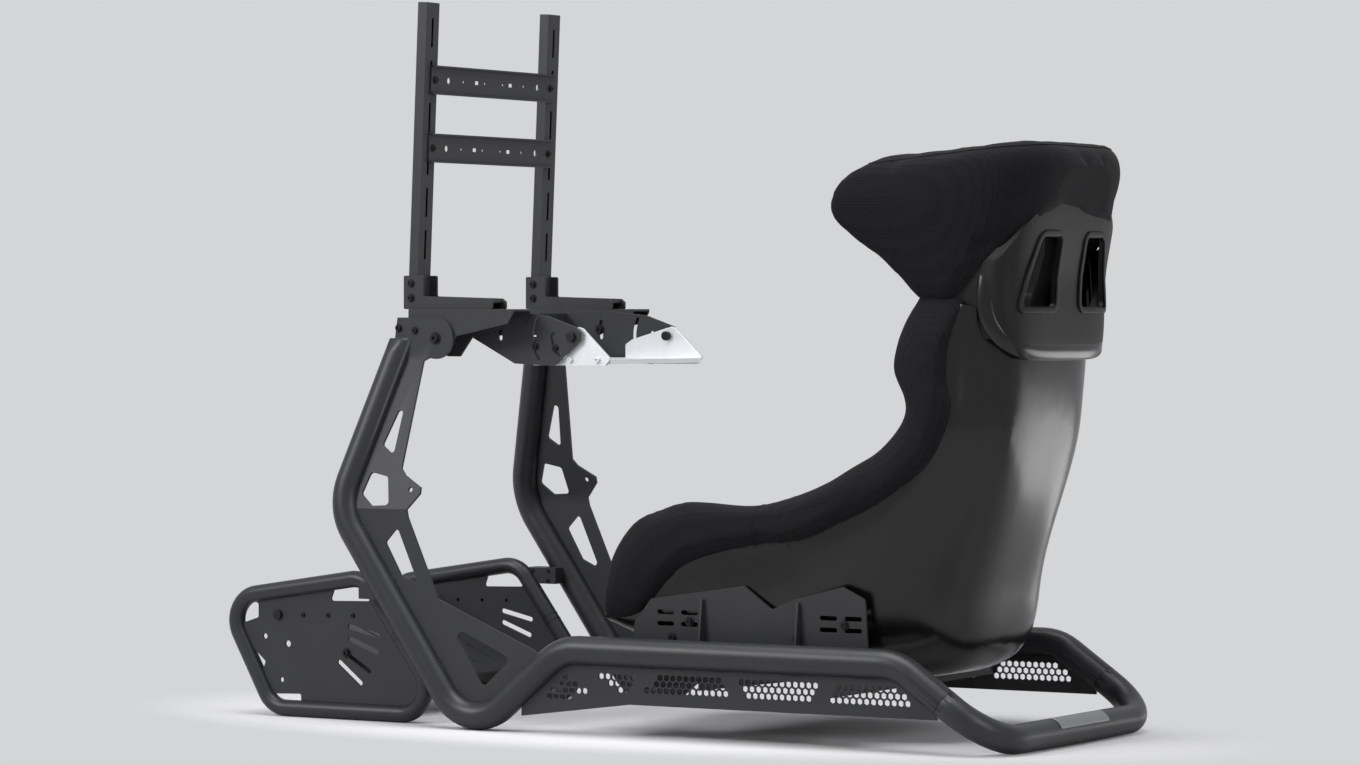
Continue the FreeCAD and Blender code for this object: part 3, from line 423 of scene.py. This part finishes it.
def bolster_ring(section, side):
    """The roll over the shell's edge: it overhangs the shell outside and the pad inside."""
    half, share = section[2:4]
    top = depth(section)
    low = top * share
    hang = min(HANG, low * 0.5)
    inner = half - BOLSTER_WIDTH
    swell = min(1.0, (NECK_Z - section[1][1]) / NECK_FADE)
    shape = [
        (shell_half(section, hang) + 12 * swell, low - hang),
        (half + 15 * swell, low + (top - low) * 0.12),
        (half + 14 * swell, low + (top - low) * 0.35),
        (half + 10 * swell, low + (top - low) * 0.65),
        (half - 2, low + (top - low) * 0.93),
        (half - 20, top),
        (inner + 8, low + (top - low) * 0.92),
        (inner - 3, low + (top - low) * 0.65),
        (inner - 4, low + (top - low) * 0.3),
        (inner + 4, low - hang),
    ]
    return [across(section, side * y, height) for y, height in shape]


# One more section, inside the head cover
NECK = ((-59, 749), (103, 776), 202, 0.55, 3.2, 0.93)
bolsters = {}
for side, name in ((1, "left"), (-1, "right")):
    rings = [bolster_ring(section, side) for section in finer(SEAT, 3) + [NECK]]
    bolsters[name] = cover(name + "_bolster_cover", loft(rings), name + "_side_bolster", 6.0, 1.0, 6.0)

cover("seat_base_cover", node_mesh("seat_base_pad"), "seat_base_pad", 8.0, 1.5, 5.0)
cover("seat_back_cover", node_mesh("seat_back_pad"), "seat_back_pad", 7.0, 1.5, 5.0)

# Sections of the cover round the head from the neck up: skin point, tip of the wings, half width
HEAD = [
    ((-60, 724), (104, 751), 208),
    ((-84, 795), (165, 815), 219),
    ((-95, 850), (228, 862), 226),
    ((-106, 915), (264, 908), 232),
    ((-119, 968), (246, 958), 228),
    ((-114, 1006), (205, 985), 218),
    ((-94, 1029), (172, 1001), 198),
]


# The wall of the head cover, the steps round it and how round its corners are
HOOD_WALL = 42
HOOD_STEPS = 40
HOOD_ROUND = 0.45


def hood_ring(section):
    """A wall of foam bent round the head, open in front."""
    ring = []
    for wall, steps in ((0, range(HOOD_STEPS + 1)), (HOOD_WALL, range(HOOD_STEPS, -1, -1))):
        for k in steps:
            turn = math.pi * k / HOOD_STEPS
            wide = math.copysign(abs(math.cos(turn)) ** HOOD_ROUND, math.cos(turn))
            high = depth(section) - (depth(section) - wall) * math.sin(turn) ** HOOD_ROUND
            ring.append(across(section, (section[2] - wall) * wide, high))
    return ring


# The cover's hem: a slanted cut that rises backwards, arched up in the middle of the back
HEM_X, HEM_Z = SEAT_X + 52, 742
HEM_SLOPE = 0.96
ARCH_HALF = 150
ARCH_RISE = 46
ARCH_FADE = 130
hood = loft([hood_ring(section) for section in finer(HEAD, 3)])
bmesh.ops.bisect_plane(hood, geom=hood.verts[:] + hood.edges[:] + hood.faces[:], clear_outer=True,
                       plane_co=Vector((HEM_X, 0, HEM_Z)) / 1000, plane_no=(-HEM_SLOPE, 0.0, -1.0))
bmesh.ops.subdivide_edges(hood, edges=[e for e in hood.edges if e.calc_length() > 0.03],
                          cuts=4, use_grid_fill=True)
for vertex in hood.verts:
    x, y, z = vertex.co * 1000
    above = z - HEM_Z + HEM_SLOPE * (x - HEM_X)
    if x < SEAT_X - 30 and abs(y) < ARCH_HALF:
        rise = ARCH_RISE * (1 - (y / ARCH_HALF) ** 2) * min(max(1 - above / ARCH_FADE, 0.0), 1.0)
        vertex.co.z += rise / 1000
bmesh.ops.holes_fill(hood, edges=[e for e in hood.edges if e.is_boundary], sides=0)
bmesh.ops.recalc_face_normals(hood, faces=hood.faces)
head_shell = cover("head_cover_fabric", hood, "head_cover", 6.0, 1.0, 5.0)

# The foot of the pad behind the head is drawn lower, so that no light shows through at the neck
PAD_FOOT = 0.748
PAD_DROP = 0.016
neck = node_mesh("head_pad")
for vertex in neck.verts:
    if vertex.co.z < PAD_FOOT:
        vertex.co.z -= PAD_DROP
cover("head_pad_fabric", neck, "head_pad", 5.0, 1.5, 4.0)


# Hump trim and sewn seams

HUMP_HALF = 198
HUMP_REACH = 64
LEDGE_HALF = 15.0
LEDGE_PROUD = 6.5


def hump_x(y, z):
    """X of the hump's outer face at a place across and up, in millimetres."""
    rows = [(654, -67.6), (678, -75), (704, -76), (742, -76), (795, -78), (850, -87), (915, -97)]
    for (z0, x0), (z1, x1) in zip(rows, rows[1:]):
        if z <= z1:
            break
    flat = x0 + (x1 - x0) * (z - z0) / (z1 - z0)
    return SEAT_X + flat + HUMP_REACH * (1 - (1 - (abs(y) / HUMP_HALF) ** 4) ** 0.25)


def belt_rim(side, name):
    """A raised rim round a shoulder belt opening, lying on the hump."""
    bm = bmesh.new()
    corners = [bm.verts.new((0.0, side * y / 1000, z / 1000))
               for y, z in ((39, 733), (173.6, 733), (123.8, 873), (39, 873))]
    bm.faces.new(corners)
    bmesh.ops.bevel(bm, geom=corners, offset=0.02, offset_type="OFFSET", segments=5, profile=0.5,
                    affect="VERTICES", material=-1)
    bm.faces.ensure_lookup_table()
    middle = bm.faces[0]
    bmesh.ops.inset_individual(bm, faces=[middle], thickness=0.0095)
    bmesh.ops.delete(bm, geom=[middle], context="FACES_ONLY")
    long_edges = [e for e in bm.edges if e.calc_length() > 0.03]
    bmesh.ops.subdivide_edges(bm, edges=long_edges, cuts=4, use_grid_fill=True)
    for vert in bm.verts:
        vert.co.x = hump_x(vert.co.y * 1000, vert.co.z * 1000) / 1000 + 0.0015
    bmesh.ops.recalc_face_normals(bm, faces=bm.faces)
    grown = bmesh.ops.extrude_face_region(bm, geom=bm.faces[:])
    outer = [item for item in grown["geom"] if isinstance(item, bmesh.types.BMVert)]
    bmesh.ops.translate(bm, vec=(-0.0048, 0, 0), verts=outer)
    rims = [e for e in bm.edges if e.is_manifold and e.calc_face_angle() > math.radians(50)]
    bmesh.ops.bevel(bm, geom=rims, offset=0.0016, offset_type="OFFSET", segments=3, profile=0.5,
                    affect="EDGES", material=-1, clamp_overlap=True)
    bmesh.ops.recalc_face_normals(bm, faces=bm.faces)
    piece(name, bm, "matte_panel")


for side, name in ((1, "left_belt_rim"), (-1, "right_belt_rim")):
    belt_rim(side, name)


def hump_ledge():
    """The glossy roll along the foot of the hump, turning up round both its sides.
    Each row gives Y, X from SEAT_X, Z and the way the roll faces."""
    half_path = [
        (0, -70.5, 667, (-1.0, 0.0, -0.25)),
        (70, -70.0, 667, (-1.0, 0.05, -0.25)),
        (120, -67.5, 668, (-1.0, 0.15, -0.25)),
        (150, -63.0, 672, (-0.95, 0.3, -0.25)),
        (172, -52.0, 681, (-0.75, 0.65, -0.2)),
        (186, -36.0, 697, (-0.45, 0.9, -0.15)),
        (193, -24.0, 718, (-0.25, 0.97, -0.1)),
        (196, -18.0, 745, (-0.2, 0.98, 0.0)),
        (194, -18.0, 785, (-0.2, 0.98, 0.0)),
        (184, -22.0, 845, (-0.2, 0.98, 0.0)),
    ]
    path = [(-y, x, z, (nx, -ny, nz)) for y, x, z, (nx, ny, nz) in half_path[:0:-1]] + half_path
    points = [Vector((x + SEAT_X, y, z)) for y, x, z, facing in path]
    rings = []
    for k, (y, x, z, facing) in enumerate(path):
        along = (points[min(k + 1, len(points) - 1)] - points[max(k - 1, 0)]).normalized()
        out = Vector(facing).normalized()
        wide = along.cross(out).normalized()
        taper = 0.55 if k in (0, len(path) - 1) else 1.0
        ring = []
        for turn in range(16):
            angle = math.tau * turn / 16
            sideways = wide * (LEDGE_HALF * taper * math.cos(angle))
            outward = out * (LEDGE_PROUD * taper * math.sin(angle))
            ring.append((points[k] + sideways + outward) / 1000)
        rings.append(ring)
    obj = piece("hump_ledge", loft(rings), "gloss_shell", smooth=80)
    round_off = obj.modifiers.new("round_off", "SUBSURF")
    round_off.levels = 2
    round_off.render_levels = 2


hump_ledge()


def hump_flank(side, name):
    """The wall from the hump's side forward into the head cover."""
    bm = bmesh.new()
    rows = []
    for y, z in ((184, 690), (191, 715), (195, 745), (197, 795), (197, 850)):
        places = [Vector((x + SEAT_X, side * y, z)) / 1000 for x in (-24, 20, 64)]
        rows.append([bm.verts.new(place) for place in places])
    for low, high in zip(rows, rows[1:]):
        for k in range(2):
            bm.faces.new((low[k], low[k + 1], high[k + 1], high[k]))
    bmesh.ops.recalc_face_normals(bm, faces=bm.faces)
    bmesh.ops.solidify(bm, geom=bm.faces[:], thickness=0.004)
    piece(name, bm, "matte_panel")


for side, name in ((1, "left_hump_flank"), (-1, "right_hump_flank")):
    hump_flank(side, name)


def seam(name, obj, place, facing, radius, keep):
    """A line of piping where a plane cuts a cover, on the side that keep picks."""
    shaped = bpy.data.meshes.new_from_object(obj.evaluated_get(bpy.context.evaluated_depsgraph_get()))
    bm = bmesh.new()
    bm.from_mesh(shaped)
    across_plane = Vector(facing).normalized()
    bmesh.ops.bisect_plane(bm, geom=bm.verts[:] + bm.edges[:] + bm.faces[:], plane_co=Vector(place) / 1000,
                           plane_no=across_plane, clear_inner=True, clear_outer=True)
    bmesh.ops.delete(bm, geom=[v for v in bm.verts if not keep(v.co * 1000)], context="VERTS")
    left = dict.fromkeys(bm.verts)
    runs = []
    while left:
        ends = [v for v in left if len(v.link_edges) == 1]
        run = [ends[0] if ends else next(iter(left))]
        del left[run[0]]
        while True:
            onward = [e.other_vert(run[-1]) for e in run[-1].link_edges if e.other_vert(run[-1]) in left]
            if not onward:
                break
            run.append(onward[0])
            del left[onward[0]]
        if len(run) > 8:
            runs.append([v.co.copy() for v in run[::2]])
    bm.free()
    for number, points in enumerate(runs):
        rings = []
        for k in range(1, len(points) - 1):
            centre = (points[k - 1] + points[k] + points[k + 1]) / 3
            along = (points[k + 1] - points[k - 1]).normalized()
            out = along.cross(across_plane).normalized()
            ring = []
            for t in range(6):
                angle = math.tau * t / 6
                ring.append(centre + (across_plane * math.cos(angle) + out * math.sin(angle)) * radius / 1000)
            rings.append(ring)
        piece("%s_%d" % (name, number), loft(rings), "mesh_fabric", smooth=80)


seam("head_piping", head_shell, (SEAT_X - 94, 0, 1016), (0.105, 0, 1.0), 1.5, lambda p: True)
for name, obj in bolsters.items():
    seam(name + "_thigh_seam", obj, (SEAT_X + 395, 0, 400), (1.0, 0, 0.12), 1.1, lambda p: p.z > 330)


# Screws, welds and joint rings

WASHER_TALL = 0.0014


def screw(bm, place, outward, head, tall, washer=0.0):
    """A button head socket screw standing on a face, with a washer under it if given."""
    turn = Vector(outward).to_track_quat("Z", "Y").to_matrix().to_4x4()
    start = len(bm.verts)
    if washer:
        bmesh.ops.create_cone(bm, cap_ends=True, segments=20, radius1=washer / 1000, radius2=washer / 1000,
                              depth=WASHER_TALL, matrix=Matrix.Translation((0, 0, WASHER_TALL / 2)))
    lift = WASHER_TALL if washer else 0.0
    made = bmesh.ops.create_cone(bm, cap_ends=True, segments=20, radius1=head / 1000,
                                 radius2=head * 0.86 / 1000, depth=tall / 1000,
                                 matrix=Matrix.Translation((0, 0, lift + tall / 2000)))
    faces = {face for vert in made["verts"] for face in vert.link_faces}
    top = max(faces, key=lambda face: face.calc_center_median().z)
    bmesh.ops.inset_individual(bm, faces=[top], thickness=head * 0.4 / 1000)
    bmesh.ops.inset_individual(bm, faces=[top], thickness=head * 0.02 / 1000, depth=-tall * 0.6 / 1000)
    bm.verts.ensure_lookup_table()
    bmesh.ops.transform(bm, matrix=Matrix.Translation(Vector(place) / 1000) @ turn, verts=bm.verts[start:])


def weld(bm, start, end, width):
    """A short weld bead: a row of overlapping drops between two points."""
    a = Vector(start) / 1000
    b = Vector(end) / 1000
    steps = max(3, int((b - a).length / 0.0045))
    for k in range(steps + 1):
        bmesh.ops.create_icosphere(bm, subdivisions=1, radius=width / 1000,
                                   matrix=Matrix.Translation(a.lerp(b, k / steps)))


# Faces that the screws stand on: the gussets' heads and the deck plates, from the middle
HEAD_FACE = 237.0
DECK_FACE = 172.0
POST_LEAN = math.radians(2.4)

# In order: gusset heads, deck plates, stand feet, pedal cheeks and clamps, seat brackets, crossbars
frame_screws = bmesh.new()
for side in (1, -1):
    out = (0, side, 0)
    inward = (0, -side, 0)
    screw(frame_screws, (365.3, side * HEAD_FACE, 688), out, 8.0, 5.0, 11.0)
    screw(frame_screws, (409.3, side * HEAD_FACE, 702), out, 5.2, 3.2, 6.6)
    screw(frame_screws, (444.3, side * HEAD_FACE, 706), out, 5.6, 3.6, 7.2)
    screw(frame_screws, (195.3, side * DECK_FACE, 673.5), out, 5.0, 3.4, 7.0)
    screw(frame_screws, (153.6, side * DECK_FACE, 670.4), out, 5.0, 3.4, 7.0)
    screw(frame_screws, (272.0, side * 168, 702), inward, 7.0, 4.4, 9.5)
    for z in (760, 786):
        screw(frame_screws, (425.3, side * 226, z), out, 5.4, 3.4, 7.4)
        screw(frame_screws, (425.3, side * 178, z), inward, 5.4, 3.4, 7.4)
    for x, z in ((642.4, 185.3), (587.4, 186.6), (532.4, 187.9)):
        screw(frame_screws, (x, side * 255, z), out, 4.4, 2.6)
    screw(frame_screws, (546.4, side * 255, 120), out, 6.4, 4.2, 9.0)
    for x in (440, 474):
        for z in (228, 246):
            screw(frame_screws, (x, side * 253, z), inward, 3.4, 2.4)
    for x, z in ((-165, 201), (-377, 178), (-470, 205), (-130, 172)):
        screw(frame_screws, (x, side * 241, z), out, 6.0, 3.6, 8.4)
    for rise in (290, 412):
        x = 425.3 - 13 * math.cos(POST_LEAN) - rise * math.sin(POST_LEAN)
        z = 740 + rise * math.cos(POST_LEAN) - 13 * math.sin(POST_LEAN)
        back = (-math.cos(POST_LEAN), 0, -math.sin(POST_LEAN))
        screw(frame_screws, (x, side * 192, z), back, 5.0, 3.2, 7.2)
piece("frame_screws", frame_screws, "black_bolt")

ear_screws = bmesh.new()
for side in (1, -1):
    for x, z in ((128.4, 650), (71.4, 650)):
        screw(ear_screws, (x, side * 162, z), (0, side, 0), 5.4, 3.2, 6.4)
piece("ear_screws", ear_screws, "brushed_aluminium", "wheel_deck")

welds = bmesh.new()
for side in (1, -1):
    y = side * 303
    for x in (-560, -420, -280, -140, 0):
        weld(welds, (x, y + side * 2, 122.5), (x + 34, y + side * 2, 122.5), 2.4)
    for share in (0.14, 0.36, 0.72):
        ends = []
        for part in (share - 0.016, share + 0.016):
            on_axis = Vector((527.2 - 278.7 * part, y + side * 3.5, 385 - 398 * part))
            ends.append(on_axis + Vector((-20.2, 0, 14.1)))
        weld(welds, *ends, 2.2)
piece("weld_beads", welds, "powder_coat_tube", smooth=60)


def ring_seam(bm, centre, along, radius):
    """A fine raised ring where two tubes meet."""
    turn = Vector(along).to_track_quat("Z", "Y").to_matrix().to_4x4()
    start = len(bm.verts)
    bmesh.ops.create_cone(bm, cap_ends=False, segments=48, radius1=radius / 1000, radius2=radius / 1000,
                          depth=0.0016)
    bm.verts.ensure_lookup_table()
    bmesh.ops.transform(bm, matrix=Matrix.Translation(Vector(centre) / 1000) @ turn, verts=bm.verts[start:])


seams = bmesh.new()
for side in (1, -1):
    ring_seam(seams, (-693.1, side * 303, 86.5), (-88.5, 0, -61.5), 25.25)
    for share in (0.40, 0.44):
        ring_seam(seams, (506.4 - 178 * share, side * 253, 258 - 243 * share), (178, 0, 243), 15.6)
piece("tube_joint_rings", seams, "black_bolt")


# Stage: camera, light and floor

# The fitted camera in the photograph's pixels: focal length, width, and the horizon above the centre
FOCAL = 4600.0
PICTURE_WIDTH = 1360.0
HORIZON = 74.5


def studio():
    """The camera fitted to the photograph, soft lamps, a pale backdrop and a floor that fades out."""
    camera = bpy.data.cameras.new("camera")
    camera.sensor_width = 36.0
    camera.lens = FOCAL / PICTURE_WIDTH * camera.sensor_width
    camera.clip_end = 60.0
    eye = bpy.data.objects.new("camera", camera)
    scene.collection.objects.link(eye)
    down = math.atan(HORIZON / FOCAL)
    ahead = Vector((0.51354 * math.cos(down), -0.85806 * math.cos(down), -math.sin(down)))
    eye.location = (-4.2241, 7.0557, 0.742)
    eye.rotation_euler = ahead.to_track_quat("-Z", "Y").to_euler()
    scene.camera = eye

    def softbox(name, place, target, size, watts):
        """An area lamp that lights the part but isn't seen itself."""
        lamp = bpy.data.lights.new(name, "AREA")
        lamp.shape = "RECTANGLE"
        lamp.size, lamp.size_y = size
        lamp.energy = watts
        obj = bpy.data.objects.new(name, lamp)
        obj.location = place
        obj.rotation_euler = (Vector(target) - Vector(place)).to_track_quat("-Z", "Y").to_euler()
        obj.visible_camera = False
        scene.collection.objects.link(obj)

    softbox("overhead", (-0.2, 0.6, 3.6), (0.0, 0.0, 0.4), (3.0, 2.4), 150)
    softbox("rear_side", (-4.2, 1.4, 2.4), (-0.6, 0.0, 0.6), (1.2, 2.0), 60)
    softbox("front_side", (2.6, 3.6, 3.0), (0.3, 0.0, 0.6), (2.0, 2.0), 150)
    softbox("far_floor", (-1.7, -1.35, 0.03), (-1.5, -1.0, 3.0), (1.8, 2.5), 42)

    world = bpy.data.worlds.new("studio")
    scene.world = world
    world.use_nodes = True
    tree = world.node_tree
    tree.nodes.clear()
    path = add(tree, "ShaderNodeLightPath")
    clear = add(tree, "ShaderNodeMath",
                {0: path.outputs["Is Camera Ray"], 1: path.outputs["Is Transmission Ray"]},
                operation="MAXIMUM")
    seen = add(tree, "ShaderNodeMath", {0: clear.outputs["Value"], 1: path.outputs["Is Glossy Ray"]},
               operation="MAXIMUM")
    ambient = add(tree, "ShaderNodeBackground", {"Color": linear("d4d5d7"), "Strength": 0.2})
    backdrop = add(tree, "ShaderNodeBackground", {"Color": linear("d4d5d7"), "Strength": 1.0})
    both = add(tree, "ShaderNodeMixShader", {0: seen.outputs["Value"], 1: ambient.outputs["Background"],
                                             2: backdrop.outputs["Background"]})
    add(tree, "ShaderNodeOutputWorld", {"Surface": both.outputs["Shader"]})

    bm = bmesh.new()
    bmesh.ops.create_grid(bm, x_segments=1, y_segments=1, size=3.0)
    mesh = bpy.data.meshes.new("floor")
    bm.to_mesh(mesh)
    bm.free()
    floor = bpy.data.objects.new("floor", mesh)
    scene.collection.objects.link(floor)
    material, tree, shader, coords = new_material("pale_floor")
    shader.inputs["Base Color"].default_value = linear("d6d6d8")
    shader.inputs["Roughness"].default_value = 0.6
    clear = add(tree, "ShaderNodeBsdfTransparent")
    oval = add(tree, "ShaderNodeMapping", {"Vector": coords, "Scale": (0.8, 1.6, 1.0)})
    reach = add(tree, "ShaderNodeVectorMath", {0: oval.outputs["Vector"]}, operation="LENGTH")
    fade = add(tree, "ShaderNodeMapRange",
               {"Value": reach.outputs["Value"], "From Min": 0.62, "From Max": 0.95,
                "To Min": 1.0, "To Max": 0.0},
               interpolation_type="SMOOTHSTEP")
    path = add(tree, "ShaderNodeLightPath")
    gone = add(tree, "ShaderNodeMath", {0: 1.0, 1: fade.outputs["Result"]}, operation="SUBTRACT")
    unseen = add(tree, "ShaderNodeMath", {0: gone.outputs["Value"], 1: path.outputs["Is Camera Ray"]},
                 operation="MULTIPLY")
    there = add(tree, "ShaderNodeMath", {0: 1.0, 1: unseen.outputs["Value"]}, operation="SUBTRACT")
    mixed = add(tree, "ShaderNodeMixShader", {0: there.outputs["Value"], 1: clear.outputs["BSDF"],
                                              2: shader.outputs["BSDF"]})
    tree.links.new(mixed.outputs["Shader"], tree.nodes["Material Output"].inputs["Surface"])
    mesh.materials.append(material)


studio()
